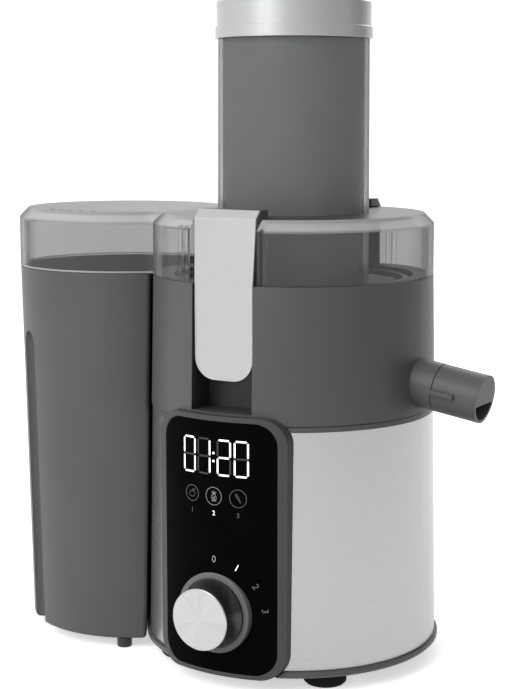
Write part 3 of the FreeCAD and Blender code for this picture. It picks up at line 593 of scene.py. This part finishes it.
# %% Materials onto the parts
finish_of_slot = {
    "dark_plastic": satin_grey, "smoke_clear": clear_lid, "pusher_grey": pusher_grey,
    "cap_silver": cap_silver, "latch_silver": latch_silver, "steel_brushed": steel_sleeve,
    "glass_black": black_glass,
    "knob_face_metal": knob_metal, "knob_side_metal": knob_side, "knob_ring_grey": ring_grey,
    "foot_rubber": black_rubber, "container_foot_plastic": peg_black, "housing_black": housing_black,
    "coupling_black": glass_filled, "basket_plastic": basket_grey, "machined_steel": ground_steel,
    "lamination_steel": sheets, "bracket_zinc": zinc, "copper": windings, "carbon": carbon,
    "board_green": green_board,
}
own_finish = {"basket_mesh": etched, "grater_disc": grater, "control_bezel": bezel_grey,
              "pulp_container": bin_grey, "juice_bowl": bowl_grey}
parts = frame["record"]["subparts"]
for part in parts:
    node = frame["nodes"][part["node"]]
    node.material_slots[0].material = own_finish.get(part["node"], finish_of_slot[part["material_slot"]])
print("dressed", len(parts), "parts with", len(finish_of_slot) + len(own_finish), "finishes")

# %% [markdown]
# ## Printing on a curved glass
#
# The clock, the touch marks and the dial numbers are printed on the inside of the glass and lit from
# behind. An image would be the quick way, but drawn shapes stay sharp at any distance. Each mark is drawn
# flat, as width along the glass and height, then laid round the glass: the width becomes an angle. Long
# shapes are cut into short pieces first, so that they follow the curve.

# %% From a mesh to a piece of the machine
def new_object(name, mesh, material, smooth=False):
    """Puts a mesh into the scene with one material."""
    data = bpy.data.meshes.new(name)
    mesh.to_mesh(data)
    mesh.free()
    for face in data.polygons:
        face.use_smooth = smooth
    data.materials.append(material)
    made = bpy.data.objects.new(name, data)
    bpy.context.scene.collection.objects.link(made)
    return made


def add_piece(name, mesh, material, body, smooth=False):
    piece = new_object(name, mesh, material, smooth)
    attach(piece, body)


# %% Flat drawing, then wrapped
glass_radius = -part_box("display_glass")[0].y
INK_LIFT = 0.00012
LONG_EDGE = 3.0
MM = 0.001


def lay_on_glass(name, polygons, material):
    """Makes one thin piece from flat polygons in millimetres: (distance along the glass, height)."""
    mesh = bmesh.new()
    for polygon in polygons:
        mesh.faces.new([mesh.verts.new((x * MM, 0.0, z * MM)) for x, z in polygon])
    bmesh.ops.triangulate(mesh, faces=mesh.faces[:])
    long_edges = [e for e in mesh.edges if e.calc_length() > LONG_EDGE * MM]
    bmesh.ops.subdivide_edges(mesh, edges=long_edges, cuts=3)
    reach = glass_radius + INK_LIFT
    for vertex in mesh.verts:
        turn = vertex.co.x / glass_radius
        vertex.co = Vector((reach * math.sin(turn), -reach * math.cos(turn), vertex.co.z))
    bmesh.ops.recalc_face_normals(mesh, faces=mesh.faces[:])
    if sum(f.normal.y for f in mesh.faces) > 0:
        bmesh.ops.reverse_faces(mesh, faces=mesh.faces[:])
    add_piece(name, mesh, material, "root")


print("glass radius mm:", round(glass_radius / MM, 1))

# %% Inks
def glow(name, shade, power):
    """Ink that is lit from behind, a little uneven."""
    finish = Finish(name)
    uneven = finish.ramp(finish.noise(500.0, 2.0), 0.2, 0.8)
    lit = finish.blend(uneven, shaded(shade, 0.9), shade)
    finish.put("Base Color", lit)
    finish.put("Emission Color", lit)
    finish.put("Emission Strength", power)
    finish.put("Roughness", uneven * 0.1 + 0.3)
    return finish.material


ink_white = glow("ink_white", (1.0, 1.0, 1.0), 1.2)
ink_dim = glow("ink_dim", (0.09, 0.092, 0.095), 0.5)
ink_grey = glow("ink_grey", (0.24, 0.24, 0.25), 0.5)
ink_ghost = glow("ink_ghost", (0.013, 0.013, 0.014), 0.35)
tell_finishes()

# %% [markdown]
# ### The clock
#
# A seven-segment display has the same seven bars in each digit, and the number is only a choice of which
# ones are lit. The bars that are off still show as faint ghosts, which is worth keeping. A bar is a long
# shape with pointed ends.

# %% Seven-segment digits
DIGIT_W = 9.0
DIGIT_LOW = 125.6
DIGIT_HIGH = 146.6
BAR = 1.05
BAR_GAP = 0.5
DIGIT_CENTRES = (-16.9, -6.5, 6.7, 17.4)
COLON_HEIGHTS = (133.8, 138.4)
COLON_DOT = 0.75
LIT = {"0": "abcdef", "1": "bc", "2": "abged"}


def bar(x0, z0, x1, z1):
    """A bar from one point to another, with pointed ends."""
    along = Vector((x1 - x0, z1 - z0)).normalized()
    side = Vector((-along.y, along.x)) * (BAR / 2)
    start = Vector((x0, z0)) + along * BAR_GAP
    end = Vector((x1, z1)) - along * BAR_GAP
    tip = along * (BAR / 2)
    above = [start + tip + side, end - tip + side]
    below = [end - tip - side, start + tip - side]
    return [tuple(point) for point in (start, *above, end, *below)]


def oval(x, z, rx, rz, count=24, tilt=0.0):
    c = math.cos(tilt)
    s = math.sin(tilt)
    points = []
    for i in range(count):
        a = math.tau * i / count
        along = rx * math.cos(a)
        across = rz * math.sin(a)
        points.append((x + along * c - across * s, z + along * s + across * c))
    return points


def digit_bars(centre):
    left = centre - DIGIT_W / 2 + BAR / 2
    right = centre + DIGIT_W / 2 - BAR / 2
    low = DIGIT_LOW + BAR / 2
    high = DIGIT_HIGH - BAR / 2
    middle = (low + high) / 2
    return {"a": bar(left, high, right, high), "b": bar(right, middle, right, high),
            "c": bar(right, low, right, middle), "d": bar(left, low, right, low),
            "e": bar(left, low, left, middle), "f": bar(left, middle, left, high),
            "g": bar(left, middle, right, middle)}


lit_bars = []
ghost_bars = []
for centre, digit in zip(DIGIT_CENTRES, "0120"):
    for key, shape in digit_bars(centre).items():
        (lit_bars if key in LIT[digit] else ghost_bars).append(shape)
print("bars lit:", len(lit_bars), "bars off:", len(ghost_bars))
lit_bars += [oval(0.0, height, COLON_DOT, COLON_DOT, 8) for height in COLON_HEIGHTS]
lay_on_glass("clock_digits", lit_bars, ink_white)
lay_on_glass("clock_ghost_bars", ghost_bars, ink_ghost)

# %% [markdown]
# ### Touch marks
#
# Below the clock are three round touch marks with small fruit drawings: an apple, a pineapple and a carrot
# stand for soft, medium and hard fruit. They are plain line drawings, so one helper that turns a path into
# a ribbon draws them all. Only the middle one is switched on, so it is brighter.

# %% Fruit from ribbons
LINE = 0.24
THIN_LINE = 0.2
RING_LINE = 0.32


def ribbon(points, width, closed=False):
    """Short four-sided pieces along a path."""
    path = list(points) + ([points[0]] if closed else [])
    pieces = []
    for (x0, z0), (x1, z1) in zip(path, path[1:]):
        start = Vector((x0, z0))
        end = Vector((x1, z1))
        run = Vector((x1 - x0, z1 - z0))
        side = Vector((-run.y, run.x)).normalized() * (width / 2)
        pieces.append([tuple(point) for point in (start + side, end + side, end - side, start - side)])
    return pieces


def apple(x, z):
    shapes = ribbon(oval(x, z - 0.4, 1.9, 1.7), LINE, closed=True)
    shapes += ribbon([(x, z + 1.1), (x + 0.4, z + 2.4)], LINE)
    return shapes + ribbon(oval(x + 1.3, z + 2.0, 0.9, 0.4, 12, 0.5), THIN_LINE, closed=True)


def pineapple(x, z):
    shapes = ribbon(oval(x + 0.2, z - 0.9, 1.6, 2.0), 0.26, closed=True)
    for step in (-0.8, 0.2, 1.2):
        shapes += ribbon([(x - 1.0 + step * 0.4, z - 2.2 + step), (x + 1.3, z - 0.9 + step)], THIN_LINE)
        shapes += ribbon([(x + 1.3 - step * 0.4, z - 2.2 + step), (x - 1.0, z - 0.9 + step)], THIN_LINE)
    for lean in (-1.5, -0.8, 0.0, 0.8, 1.5):
        shapes += ribbon([(x + 0.2 + lean * 0.3, z + 1.1), (x + 0.2 + lean, z + 3.2 - abs(lean) * 0.5)], 0.3)
    return shapes


def carrot(x, z):
    shapes = ribbon([(x - 1.5, z + 1.2), (x - 0.1, z + 1.7), (x + 1.7, z - 2.4)], LINE, closed=True)
    for low, wide in ((0.5, 0.9), (-0.5, 0.7)):
        shapes += ribbon([(x - 0.2, z + low), (x - 0.2 + wide, z + low + 0.3)], 0.18)
    for lean in (-1.6, -0.9, -0.2):
        shapes += ribbon([(x - 0.8, z + 1.5), (x - 0.6 + lean * 0.7, z + 3.1 + lean * 0.3)], LINE)
    return shapes


MARK_X = (-15.1, 0.0, 15.4)
MARK_Z = 113.5
MARK_RADII = (4.6, 5.1, 5.1)
marks = zip((apple, pineapple, carrot), MARK_X, MARK_RADII, (ink_dim, ink_grey, ink_dim))
for drawing, x, radius, ink in marks:
    circle = ribbon(oval(x, MARK_Z, radius, radius, 48), RING_LINE, closed=True)
    lay_on_glass("touch_mark_" + drawing.__name__, circle + drawing(x, MARK_Z), ink)
print("touch marks at mm:", MARK_X)

# %% [markdown]
# ### Numbers
#
# The numbers under the marks and around the dial are plain figures. Blender's own letter shapes do: a text
# object gives the outline, its mesh is taken at the right height, and the same wrap lays it on the glass.
# Around the dial each figure is turned with its position, so that its foot points at the knob's middle.

# %% Figures on the glass
def figure(name, text, x, z, height, turn, ink):
    curve = bpy.data.curves.new(name + "_outline", "FONT")
    curve.body = text
    curve.align_x = "CENTER"
    curve.align_y = "CENTER"
    curve.resolution_u = 6
    holder = bpy.data.objects.new(name + "_outline", curve)
    flat = bpy.data.meshes.new_from_object(holder)
    across = [v.co.x for v in flat.vertices]
    upward = [v.co.y for v in flat.vertices]
    mid_x = (max(across) + min(across)) / 2
    mid_y = (max(upward) + min(upward)) / 2
    scale = height / (max(upward) - min(upward))
    c = math.cos(turn)
    s = math.sin(turn)
    shapes = []
    for face in flat.polygons:
        corners = [flat.vertices[i].co for i in face.vertices]
        placed = [((p.x - mid_x) * scale, (p.y - mid_y) * scale) for p in corners]
        shapes.append([(x + px * c + pz * s, z - px * s + pz * c) for px, pz in placed])
    bpy.data.objects.remove(holder)
    bpy.data.curves.remove(curve)
    bpy.data.meshes.remove(flat)
    lay_on_glass(name, shapes, ink)
    print("figure:", name)


# %% Numbers under the marks and round the dial
NUMBER_Z = 103.8
NUMBER_HEIGHT = 2.7
for text, x, ink in zip("123", MARK_X, (ink_dim, ink_white, ink_dim)):
    figure("mark_number_" + text, text, x, NUMBER_Z, NUMBER_HEIGHT, 0.0, ink)

DIAL_NUMBER_HEIGHT = 3.9
DIAL_RADIUS = 31.6
DIAL_STEP = math.radians(27.5)
for place, ink in enumerate((ink_grey, ink_white, ink_dim, ink_dim)):
    turn = DIAL_STEP * place
    x = DIAL_RADIUS * math.sin(turn)
    z = dial_height / MM + DIAL_RADIUS * math.cos(turn)
    figure("dial_number_%d" % place, str(place), x, z, DIAL_NUMBER_HEIGHT, turn, ink)

# %% [markdown]
# ## Small trim
#
# Two details are too small for the machine's own parts: the fine line on the knob that points at the dial,
# and the row of low ribs on the lid. Both are narrow bars with round ends, so one helper makes them. The
# line is a sliver of the same spun metal as the knob's face, so it shows only by its edges.

# %% Pointer line on the knob
POINTER = {"length": 0.0085, "width": 0.0004, "height": 0.00006}
POINTER_RISE = 0.0115


def rounded_bar(length, width, height, segments=6):
    """A bar with round ends and a softened top, along its own X axis, standing on z = 0."""
    mesh = bmesh.new()
    outline = []
    straight = (length - width) / 2
    for end in (1, -1):
        for i in range(segments + 1):
            a = -math.pi / 2 + math.pi * i / segments
            outline.append((end * (straight + width / 2 * math.cos(a)), end * width / 2 * math.sin(a)))
    foot = [mesh.verts.new((x, y, 0.0)) for x, y in outline]
    shoulder = [mesh.verts.new((x, y, height * 0.6)) for x, y in outline]
    crown = [mesh.verts.new((x * 0.93, y * 0.6, height)) for x, y in outline]
    for low, high in ((foot, shoulder), (shoulder, crown)):
        for i in range(len(outline)):
            j = (i + 1) % len(outline)
            mesh.faces.new((low[i], low[j], high[j], high[i]))
    mesh.faces.new(crown)
    mesh.faces.new(foot[::-1])
    bmesh.ops.recalc_face_normals(mesh, faces=mesh.faces[:])
    return mesh


pointer = rounded_bar(**POINTER)
pointer.transform(Matrix.Translation((0.0, dial_low.y, dial_height + POINTER_RISE))
                  @ Matrix.Rotation(math.pi / 2, 4, "X") @ Matrix.Rotation(math.pi / 2, 4, "Z"))
add_piece("knob_pointer", pointer, knob_metal, "knob")
print("pointer length mm:", POINTER["length"] / MM)

# %% [markdown]
# ### Grip ribs
#
# The lid's round lobe over the container has a few low ribs near its edge, for the fingers. They point away
# from the lobe's middle, so a loop turns one bar about that point. They sink a little into the deck, so that
# no gap shows below them.

# %% Ribs on the lid
LOBE_CENTRE_IN = 0.068
RIB = {"length": 0.0048, "width": 0.0014, "height": 0.0006}
RIB_CIRCLE = 0.0592
RIB_FOOT_Z = 0.2693 - 0.00005
RIB_TURNS = (-106.0, -98.5, -91.0, -83.5, -76.0)
lobe_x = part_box("pulp_container")[0].x + LOBE_CENTRE_IN
ribs = bmesh.new()
for degrees in RIB_TURNS:
    turn = math.radians(degrees)
    rib = rounded_bar(**RIB)
    place = (lobe_x + RIB_CIRCLE * math.cos(turn), RIB_CIRCLE * math.sin(turn), RIB_FOOT_Z)
    rib.transform(Matrix.Translation(place) @ Matrix.Rotation(turn, 4, "Z"))
    scrap = bpy.data.meshes.new("rib")
    rib.to_mesh(scrap)
    ribs.from_mesh(scrap)
    rib.free()
    bpy.data.meshes.remove(scrap)
add_piece("lid_grip_ribs", ribs, clear_lid, "root", smooth=True)
print("ribs:", len(RIB_TURNS), "lobe centre x mm:", round(lobe_x / MM, 1))

# %% [markdown]
# ## Floor and backdrop
#
# A product stands in a light tent: a pale sheet that runs under it and up behind it, with no corner. The
# sheet is one strip bent through a quarter circle. It is slightly bright by itself, like a sheet lit from
# behind, so it stays nearly white everywhere and only the contact shadows darken it. It rises far behind the
# machine, so that a camera on the other side still stands in front of it.

# %% The pale sheet
VIEW_TURN = math.radians(29.0)
SHEET_FRONT = -6.0
SHEET_FLAT = 4.8
SHEET_BEND = 1.2
BEND_STEPS = 12
SHEET_TOP = 6.0
SHEET_HALF = 6.0
SHEET_SINK = 0.00001


def pale_sheet():
    finish = Finish("pale_sheet", Specular_IOR_Level=0.1)
    paper = finish.noise(40.0, 4.0)
    tone = finish.blend(paper, (0.9, 0.9, 0.9), (0.93, 0.93, 0.93))
    finish.put("Base Color", tone)
    finish.put("Roughness", paper * 0.1 + 0.8)
    finish.put("Emission Color", tone)
    finish.put("Emission Strength", 0.6)
    return finish.material


def stage_piece(name, mesh, material, smooth=False):
    """A part of the room, which doesn't light the machine's dull surfaces."""
    piece = new_object(name, mesh, material, smooth)
    piece.visible_diffuse = False
    return piece


profile = [(SHEET_FRONT, 0.0), (SHEET_FLAT, 0.0)]
for step in range(1, BEND_STEPS + 1):
    bend = step * math.pi / (2 * BEND_STEPS)
    profile.append((SHEET_FLAT + SHEET_BEND * math.sin(bend), SHEET_BEND - SHEET_BEND * math.cos(bend)))
profile.append((SHEET_FLAT + SHEET_BEND, SHEET_TOP))
sweep = bmesh.new()
rows = [[sweep.verts.new((side * SHEET_HALF, y, z - SHEET_SINK)) for y, z in profile] for side in (-1, 1)]
for i in range(len(profile) - 1):
    sweep.faces.new((rows[0][i], rows[1][i], rows[1][i + 1], rows[0][i + 1]))
sweep.transform(Matrix.Rotation(VIEW_TURN, 4, "Z"))
stage_piece("pale_sheet", sweep, pale_sheet(), smooth=True)
tell_finishes()

# %% [markdown]
# ## A wall for the other sides
#
# The sheet stands behind the machine only for a camera in front. Seen from the other sides, the tent's light
# would show as a grey gradient, so a plain white drum stands round everything. It takes no part in the
# lighting: it throws no shadow, and the machine neither mirrors it nor is lit by it.

# %% The white drum
WALL_RADIUS = 9.5
WALL_SIDES = 48
WALL_FOOT = -0.02
WALL_HEAD = 8.0


def white_wall():
    finish = Finish("white_wall", Specular_IOR_Level=0.0, Emission_Strength=1.0)
    cloth = finish.noise(3.0, 3.0)
    finish.put("Base Color", finish.blend(cloth, (0.01, 0.01, 0.01), (0.02, 0.02, 0.02)))
    finish.put("Emission Color", finish.blend(cloth, (0.99, 0.99, 0.99), (1.0, 1.0, 1.0)))
    return finish.material


corners = oval(0.0, 0.0, WALL_RADIUS, WALL_RADIUS, WALL_SIDES)
ring = bmesh.new()
foot_row = [ring.verts.new((x, y, WALL_FOOT)) for x, y in corners]
head_row = [ring.verts.new((x, y, WALL_HEAD)) for x, y in corners]
for i in range(WALL_SIDES):
    j = (i + 1) % WALL_SIDES
    ring.faces.new((foot_row[i], foot_row[j], head_row[j], head_row[i]))
ring.faces.new(foot_row[::-1])
wall = stage_piece("white_wall", ring, white_wall())
wall.visible_glossy = False
wall.visible_shadow = False
tell_finishes()

# %% [markdown]
# ## Light
#
# The light is that of a tent: white from everywhere, so that clear and silver parts have something bright
# to mirror, with a large soft panel at the upper left as the main light, a weaker one at the right, and a
# strip behind that draws the edges of the clear plastic.

# %% The tent
TENT_RISE = 1.1


def tent_light(world):
    """White all round, brightest at the upper left and dim below."""
    world.use_nodes = True
    light = NodeTree(world.node_tree)
    direction = light.node("ShaderNodeTexCoord", output="Generated")
    towards = Vector((-math.cos(VIEW_TURN), -math.sin(VIEW_TURN), TENT_RISE)).normalized()
    both = {0: direction, 1: towards}
    facing = light.node("ShaderNodeVectorMath", {"operation": "DOT_PRODUCT"}, both, output="Value")
    background = light.tree.nodes["Background"]
    feed(light.tree, facing.math("MAXIMUM", -0.6) * 0.5 + 0.42, background.inputs["Strength"])
    feed(light.tree, (1.0, 1.0, 1.0), background.inputs["Color"])


tent = bpy.data.worlds.new("tent")
bpy.context.scene.world = tent
tent_light(tent)
print("world:", tent.name)

# %% Lamps
AIM_HEIGHT = 0.2


def panel_lamp(name, turn, height, distance, size, power):
    """A rectangular lamp that faces the machine; turn is measured from the camera's side, to the right."""
    angle = VIEW_TURN + math.radians(turn)
    lamp = bpy.data.lights.new(name, "AREA")
    lamp.shape = "RECTANGLE"
    lamp.size, lamp.size_y = size
    lamp.energy = power
    holder = bpy.data.objects.new(name, lamp)
    holder.location = (distance * math.sin(angle), -distance * math.cos(angle), height)
    aim = Vector((0.0, 0.0, AIM_HEIGHT)) - holder.location
    holder.rotation_euler = aim.to_track_quat("-Z", "Y").to_euler()
    bpy.context.scene.collection.objects.link(holder)
    print("lamp:", name, "watts:", power)


panel_lamp("main_panel", turn=-42.0, height=1.2, distance=1.6, size=(1.0, 1.2), power=16.0)
panel_lamp("side_panel", turn=80.0, height=0.8, distance=1.5, size=(0.6, 1.2), power=0.5)
panel_lamp("back_strip", turn=165.0, height=1.0, distance=1.3, size=(1.2, 0.4), power=4.0)

# %% [markdown]
# ## Camera
#
# A long lens from a little above keeps the upright lines nearly parallel. The camera stands about a metre
# away, turned 29 degrees to the spout's side of the panel, and looks down by eight degrees.

# %% The camera
SENSOR_MM = 36.0
LENS_MM = 83.95
CAMERA_PLACE = (0.4688, -0.8457, 0.3288)
YAW = -0.0217
PITCH = 0.144
lens = bpy.data.cameras.new("camera")
lens.sensor_width = SENSOR_MM
lens.lens = LENS_MM
camera = bpy.data.objects.new("camera", lens)
camera.location = CAMERA_PLACE
ahead = Vector((math.sin(YAW) * math.cos(PITCH), math.cos(YAW) * math.cos(PITCH), -math.sin(PITCH)))
ahead.rotate(Matrix.Rotation(VIEW_TURN, 3, "Z"))
camera.rotation_euler = ahead.to_track_quat("-Z", "Y").to_euler()
bpy.context.scene.collection.objects.link(camera)
bpy.context.scene.camera = camera
bpy.context.scene.view_settings.view_transform = "Standard"
print("camera distance m:", round(camera.location.length, 2))

# %% [markdown]
# ## Closing
#

# %% Closing
import json
